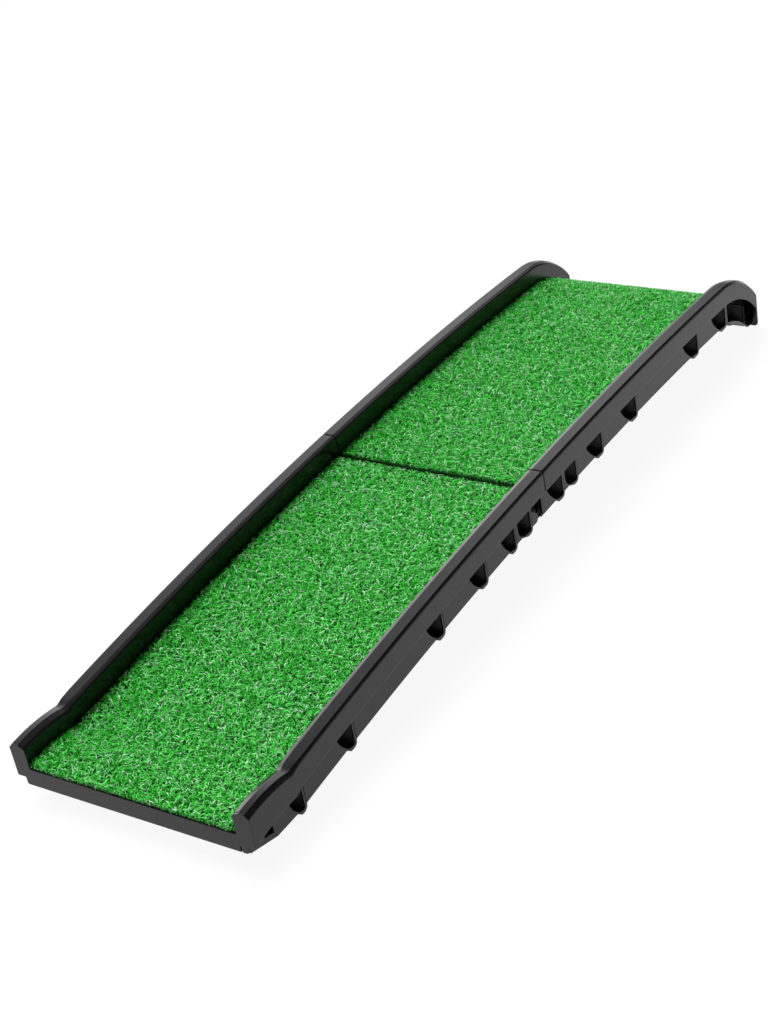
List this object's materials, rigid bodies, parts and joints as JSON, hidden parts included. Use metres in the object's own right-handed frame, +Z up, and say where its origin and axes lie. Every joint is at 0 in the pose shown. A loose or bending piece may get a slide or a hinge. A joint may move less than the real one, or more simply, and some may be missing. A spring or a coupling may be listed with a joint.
{
  "type": "folding dog ramp",
  "caption": "Arched bi-fold dog ramp with raised side rails, turf treads, a hinged middle, a hooked upper end and a side latch.",
  "frame": {"origin": "centre of the unfolded ramp's footprint, on the floor that it lies on", "axes": "+Y from the ground end to the hooked end, +X to the right of someone who walks up, +Z up"},
  "size_m": [0.405, 1.556, 0.1459],
  "materials": {
    "ramp_plastic": "satin moulded",
    "green_turf": "curled artificial turf",
    "zinc_plated_steel": "zinc plated",
    "black_rubber": "matt",
    "latch_plastic": "satin moulded"
  },
  "bodies": {
    "lower_half": {"lower_panel": "ramp_plastic", "lower_turf_mat": "green_turf", "hinge_pin_left": "zinc_plated_steel", "hinge_pin_right": "zinc_plated_steel", "pin_retainer_left": "zinc_plated_steel", "pin_retainer_right": "zinc_plated_steel", "ground_foot_left": "black_rubber", "ground_foot_right": "black_rubber", "rest_foot_left": "black_rubber", "rest_foot_right": "black_rubber", "latch_screw": "zinc_plated_steel", "latch_washer": "zinc_plated_steel", "latch_nut": "zinc_plated_steel"},
    "upper_half": {"upper_panel": "ramp_plastic", "upper_turf_mat": "green_turf", "hook_foot_left": "black_rubber", "hook_foot_right": "black_rubber", "keeper_stud": "zinc_plated_steel", "keeper_nut": "zinc_plated_steel"},
    "latch": {"fold_latch": "latch_plastic"}
  },
  "joints": [
    {"name": "fold", "type": "hinge", "parent": "lower_half", "child": "upper_half", "pos_m": [0, -0.003, 0.04963], "axis": [-1, 0, 0], "range_deg": [0, 173]},
    {"name": "latch_swing", "type": "hinge", "parent": "lower_half", "child": "latch", "pos_m": [-0.1925, -0.478, 0.05134], "axis": [-1, 0, 0], "range_deg": [0, 90.32]}
  ]
}
